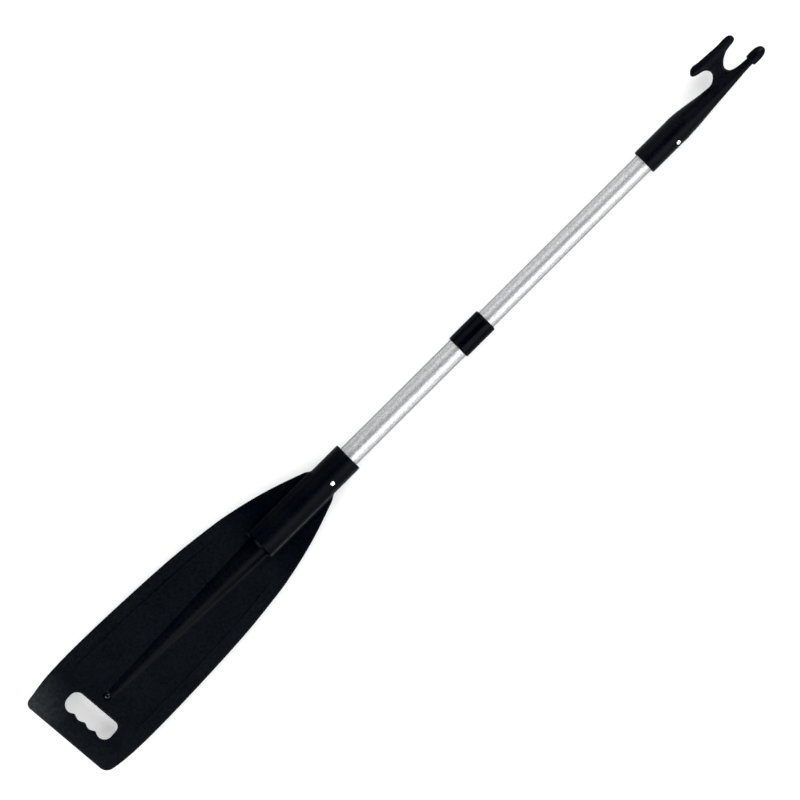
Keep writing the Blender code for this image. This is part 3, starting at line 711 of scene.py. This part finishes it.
def place_rivet(name, shape, along, turn, socket_r, mat, body, node):
    """Stands a shape turned about X on the socket, bent to the socket's curve under its head."""
    points, faces = shape
    height, side, forward = points[:, 0], points[:, 1], points[:, 2]
    sag = socket_r - np.sqrt(socket_r**2 - side**2)
    height = np.where(height >= 0, height - sag + 0.04, height)
    out = np.array((0.0, -math.sin(turn), math.cos(turn)))
    across = np.array((0.0, math.cos(turn), math.sin(turn)))
    shaft = np.array((1.0, 0.0, 0.0))
    placed = (socket_r + height)[:, None] * out + side[:, None] * across + forward[:, None] * shaft
    make_piece(name, placed + (along, 0, 0), faces, mat, body, [node], sharp=30)


def frame_slot(node):
    """The material slot that the record gives a node."""
    return next(p["material_slot"] for p in frame["record"]["subparts"] if p["node"] == node)


# --- materials ------------------------------------------------------------------------------------


class Nodes:
    """A material's node tree, with short ways to add and join nodes."""

    def __init__(self, name, colour, roughness, metallic=0.0, specular=0.5):
        self.mat = bpy.data.materials.new(name)
        self.mat.use_nodes = True
        self.tree = self.mat.node_tree
        self.shader = self.tree.nodes["Principled BSDF"]
        self.set_input("Base Color", (*colour, 1.0))
        self.set_input("Roughness", roughness)
        self.set_input("Metallic", metallic)
        self.set_input("Specular IOR Level", specular)
        self.place = self.add("ShaderNodeTexCoord").outputs["Object"]

    def set_input(self, socket, value):
        """Sets one of the shader's inputs, or joins a node to it."""
        if isinstance(value, bpy.types.NodeSocket):
            self.tree.links.new(value, self.shader.inputs[socket])
        else:
            self.shader.inputs[socket].default_value = value

    def add(self, kind, inputs=None, **settings):
        """A new node with its settings, and its inputs set or joined."""
        node = self.tree.nodes.new(kind)
        for key, value in settings.items():
            setattr(node, key, value)
        for key, value in (inputs or {}).items():
            if isinstance(value, bpy.types.NodeSocket):
                self.tree.links.new(value, node.inputs[key])
            else:
                node.inputs[key].default_value = value
        return node

    def stretched(self, scale):
        """The place on the object, with each axis scaled."""
        return self.add("ShaderNodeMapping", {"Vector": self.place, "Scale": scale}).outputs["Vector"]

    def noise(self, scale, detail=2.0, rough=0.5, vector=None):
        """Noise from 0 to 1, of that scale in a metre."""
        inputs = {"Vector": vector or self.place, "Scale": scale, "Detail": detail, "Roughness": rough}
        return self.add("ShaderNodeTexNoise", inputs).outputs["Fac"]

    def span(self, value, from_low, from_high, to_low, to_high):
        """The value's range mapped to another, and held at its ends."""
        inputs = {
            "Value": value,
            "From Min": from_low,
            "From Max": from_high,
            "To Min": to_low,
            "To Max": to_high,
        }
        return self.add("ShaderNodeMapRange", inputs).outputs["Result"]

    def mixed(self, share, one, two):
        """Two colours mixed."""
        node = self.add("ShaderNodeMix", data_type="RGBA")
        for index, value in ((0, share), (6, one), (7, two)):
            if isinstance(value, bpy.types.NodeSocket):
                self.tree.links.new(value, node.inputs[index])
            else:
                node.inputs[index].default_value = value if index == 0 else (*value, 1.0)
        return node.outputs[2]

    def maths(self, operation, one, two):
        """Two values joined by an operation."""
        return self.add("ShaderNodeMath", {0: one, 1: two}, operation=operation).outputs["Value"]

    def bump(self, height, distance, strength=1.0, below=None):
        """A normal bumped by a height, over another bump if one is given."""
        inputs = {"Height": height, "Distance": distance, "Strength": strength}
        if below:
            inputs["Normal"] = below
        return self.add("ShaderNodeBump", inputs).outputs["Normal"]


# Where a painted glare lightens the blade's tip: along the shaft, and towards its upper corner, in metres
TIP_GLARE_X = (-0.57, -0.652)
TIP_GLARE_Y = (0.015, 0.07)


def moulded_plastic(name, colour, lighter, roughness, gloss, wear_and_light_colour=None, tip_glare=False, level=0.016):
    """Black moulded plastic with a fine grain and cloudy patches, lighter where the mesh's stored
    attribute says so, for scuffs and painted light, and with a painted glare at the blade's tip if asked.
    """
    made = Nodes(name, colour, roughness, specular=level)
    made.set_input("Specular Tint", (gloss, gloss, gloss, 1.0))
    clouds = made.noise(22.0, 4.0, 0.6)
    pebbles = made.noise(420.0, 3.0, 0.7)
    cloudy = made.span(clouds, 0.35, 0.65, 0.0, 0.5)
    grainy = made.span(pebbles, 0.4, 0.6, 0.0, 0.5)
    base = made.mixed(made.maths("ADD", cloudy, grainy), colour, lighter)
    if wear_and_light_colour:
        wear_and_painted_light = made.add("ShaderNodeAttribute", attribute_name="wear_and_painted_light").outputs["Fac"]
        if tip_glare:
            # Painted highlight: a glare painted lighter towards the tip's upper corner.
            place = made.add("ShaderNodeSeparateXYZ", {"Vector": made.place}).outputs
            towards_tip = made.span(place["X"], *TIP_GLARE_X, 0.0, 1.0)
            towards_tip = made.maths("MULTIPLY", towards_tip, towards_tip)
            side = made.span(place["Y"], *TIP_GLARE_Y, 0.22, 1.0)
            wear_and_painted_light = made.maths("MAXIMUM", wear_and_painted_light, made.maths("MULTIPLY", towards_tip, side))
        # Mixes in the lighter colour where the attribute asks for scuffs or painted light.
        patches = made.span(made.noise(200.0, 5.0, 0.75), 0.35, 0.65, 0.35, 1.0)
        base = made.mixed(made.maths("MULTIPLY", wear_and_painted_light, patches), base, wear_and_light_colour)
    made.set_input("Base Color", base)
    made.set_input("Roughness", made.span(pebbles, 0.3, 0.7, roughness - 0.1, roughness + 0.1))
    coarse = made.bump(pebbles, 0.00012)
    made.set_input("Normal", made.bump(made.noise(900.0, 2.0, 0.5), 0.00005, below=coarse))
    return made.mat


def frosted_aluminium():
    """Extruded tube with a frosted, clear-anodised surface, with painted shade darkening its colour where
    it turns away from the view.
    """
    colour = (0.68, 0.69, 0.69)
    made = Nodes("frosted_aluminium", colour, 0.36, metallic=0.88)
    made.set_input("Specular Tint", (0.02, 0.02, 0.02, 1.0))
    grain = made.noise(480.0, 3.0, 0.65)
    frosted = made.mixed(made.span(grain, 0.38, 0.62, 0, 1), (0.42, 0.43, 0.43), colour)
    # Painted shade: the colour darkens towards the outline, where the surface turns away from the view.
    facing = made.add("ShaderNodeLayerWeight").outputs["Facing"]
    edge = made.span(facing, 0.2, 0.55, 0.0, 0.34)
    made.set_input("Base Color", made.mixed(edge, frosted, (0.12, 0.12, 0.12)))
    made.set_input("Roughness", made.span(made.noise(300.0, 2.0), 0.3, 0.7, 0.32, 0.40))
    drawn = made.noise(1.0, 3.0, 0.6, made.stretched((3.0, 900.0, 900.0)))
    rough = made.bump(made.noise(900.0, 2.0), 0.00008)
    made.set_input("Normal", made.bump(drawn, 0.00003, below=rough))
    return made.mat


def plain_metal(name, colour, roughness):
    """Metal with a slightly uneven polish."""
    made = Nodes(name, colour, roughness, metallic=1.0)
    smudge = made.noise(600.0, 3.0, 0.6)
    made.set_input("Roughness", made.span(smudge, 0.3, 0.7, roughness - 0.06, roughness + 0.1))
    made.set_input("Normal", made.bump(made.noise(2400.0, 2.0), 0.00002))
    return made.mat


def soft_plastic(name, colour, roughness):
    """Nylon, polythene or rubber of the hidden pieces."""
    made = Nodes(name, colour, roughness)
    darker = tuple(c * 0.8 for c in colour)
    made.set_input("Base Color", made.mixed(made.noise(90.0, 3.0), darker, colour))
    smudge = made.noise(400.0, 2.0)
    made.set_input("Roughness", made.span(smudge, 0.3, 0.7, roughness - 0.05, roughness + 0.08))
    made.set_input("Normal", made.bump(made.noise(1100.0, 2.0), 0.00003))
    return made.mat


def dress_hidden_nodes(metal, nylon, polythene, rubber):
    """The CAD nodes inside the shaft keep their shape and get their material."""
    looks = {"steel": metal, "lock_plastic": nylon, "plug_plastic": polythene, "ring_rubber": rubber}
    for name, node in frame["nodes"].items():
        look = looks.get(frame_slot(name))
        if look and not node.hide_render:
            node.data.materials.clear()
            node.data.materials.append(look)


# --- studio ---------------------------------------------------------------------------------------


def make_camera():
    """Straight above the paddle, which runs from the lower left to the upper right."""
    data = bpy.data.cameras.new("camera")
    data.lens, data.sensor_width = 300.0, 36.0
    frame_width = 1.074
    frame_x, frame_y = -0.0186, 0.0051
    camera = bpy.data.objects.new("camera", data)
    distance = frame_width * data.lens / data.sensor_width
    camera.location = (frame_x, frame_y, AXIS_Z * MM + distance)
    camera.rotation_euler = (0, 0, math.radians(-44.87))
    bpy.context.scene.collection.objects.link(camera)
    bpy.context.scene.camera = camera


def make_floor():
    """A pale round floor with a faint light of its own."""
    made = Nodes("pale_floor", (0.7, 0.7, 0.7), 0.9, specular=0.0)
    made.set_input("Emission Color", (1.0, 1.0, 1.0, 1.0))
    made.set_input("Emission Strength", 0.32)
    mesh = bpy.data.meshes.new("floor")
    radius, sides, drop = 2.3, 64, 0.0004
    turns = [2 * math.pi * k / sides for k in range(sides)]
    rim = [(radius * math.cos(a), radius * math.sin(a), 0.0) for a in turns]
    mesh.from_pydata(rim, [], [range(sides)])
    mesh.materials.append(made.mat)
    floor = bpy.data.objects.new("floor", mesh)
    floor.location.z = -drop
    bpy.context.scene.collection.objects.link(floor)


def soft_box(name, place, aim, size, radiance):
    """A soft box at a place in metres, facing a point, with its first side level."""
    data = bpy.data.lights.new(name, "AREA")
    data.shape = "RECTANGLE"
    data.size, data.size_y = size
    data.energy = radiance * math.pi * size[0] * size[1]
    light = bpy.data.objects.new(name, data)
    light.location = place
    light.rotation_euler = (Vector(place) - Vector(aim)).to_track_quat("Z", "Y").to_euler()
    light.visible_camera = False
    bpy.context.scene.collection.objects.link(light)


def make_lights():
    """A long box beside the shaft, a weaker one across from it, one past each end, and a white horizon."""
    soft_box("key_soft_box", (0.0, -1.89, 1.48), (0.0, 0.0, 0.0), (3.8, 2.2), 2.1)
    soft_box("side_soft_box", (0.4, 1.67, 1.73), (0.3, 0.0, 0.0), (1.1, 2.2), 1.1)
    soft_box("blade_end_box", (-2.6, 0.45, 1.5), (0.0, 0.0, 0.0), (2.4, 1.6), 6.5)
    soft_box("hook_end_box", (2.6, 0.45, 1.5), (0.0, 0.0, 0.0), (2.4, 1.6), 6.5)
    world = bpy.data.worlds.new("studio")
    world.use_nodes = True
    tree = world.node_tree
    background = tree.nodes["Background"]
    background.inputs["Color"].default_value = (0.9, 0.91, 0.92, 1.0)
    place = tree.nodes.new("ShaderNodeTexCoord")
    parts = tree.nodes.new("ShaderNodeSeparateXYZ")
    fade = tree.nodes.new("ShaderNodeMapRange")
    fade.interpolation_type = "SMOOTHSTEP"
    for name, value in (("From Min", 0.0), ("From Max", 0.14), ("To Min", 1.1), ("To Max", 0.36)):
        fade.inputs[name].default_value = value
    tree.links.new(place.outputs["Generated"], parts.inputs["Vector"])
    tree.links.new(parts.outputs["Z"], fade.inputs["Value"])
    tree.links.new(fade.outputs["Result"], background.inputs["Strength"])
    bpy.context.scene.world = world


def set_tones():
    """Plain tones with a deep black point, as a catalogue picture has."""
    view = bpy.context.scene.view_settings
    view.view_transform = "Standard"
    view.use_curve_mapping = True
    view.curve_mapping.black_level = (0.004, 0.004, 0.004)
    view.curve_mapping.update()


# --- the whole paddle -----------------------------------------------------------------------------


def main():
    """Makes the camera, the pieces, the floor and the lights."""
    make_camera()
    # The lighter colour stands for scuffs and for painted light.
    dark, light, wear_and_light_colour = (0.0002, 0.0006, 0.002), (0.0022, 0.0028, 0.0042), (0.03, 0.034, 0.037)
    # The blade's plastic gets a painted glare towards its tip.
    blade_black = moulded_plastic("blade_black", dark, light, 0.4, 4.3, wear_and_light_colour, tip_glare=True)
    hook_black = moulded_plastic("hook_black", dark, light, 0.34, 4.6, wear_and_light_colour)
    collar_black = moulded_plastic("collar_black", dark, light, 0.2, 14.0, level=0.005)
    bright_rivet = plain_metal("rivet_aluminium", (0.9, 0.9, 0.89), 0.28)
    dark_steel = plain_metal("mandrel_steel", (0.22, 0.22, 0.22), 0.45)
    make_blade(blade_black)
    polished_dark, polished_light = (0.0002, 0.0004, 0.0008), (0.0004, 0.0006, 0.001)
    polished_black = moulded_plastic("polished_black", polished_dark, polished_light, 0.16, 14.0)
    make_nubs(polished_black)
    make_hook(hook_black)
    make_collar(collar_black)
    make_tubes(frosted_aluminium())
    make_rivets(bright_rivet, dark_steel)
    dress_hidden_nodes(
        plain_metal("zinc_plated_steel", (0.55, 0.56, 0.58), 0.35),
        soft_plastic("white_nylon", (0.72, 0.71, 0.66), 0.45),
        soft_plastic("grey_polythene", (0.11, 0.11, 0.115), 0.5),
        soft_plastic("ring_rubber", (0.018, 0.018, 0.018), 0.62),
    )
    make_floor()
    make_lights()
    set_tones()


main()
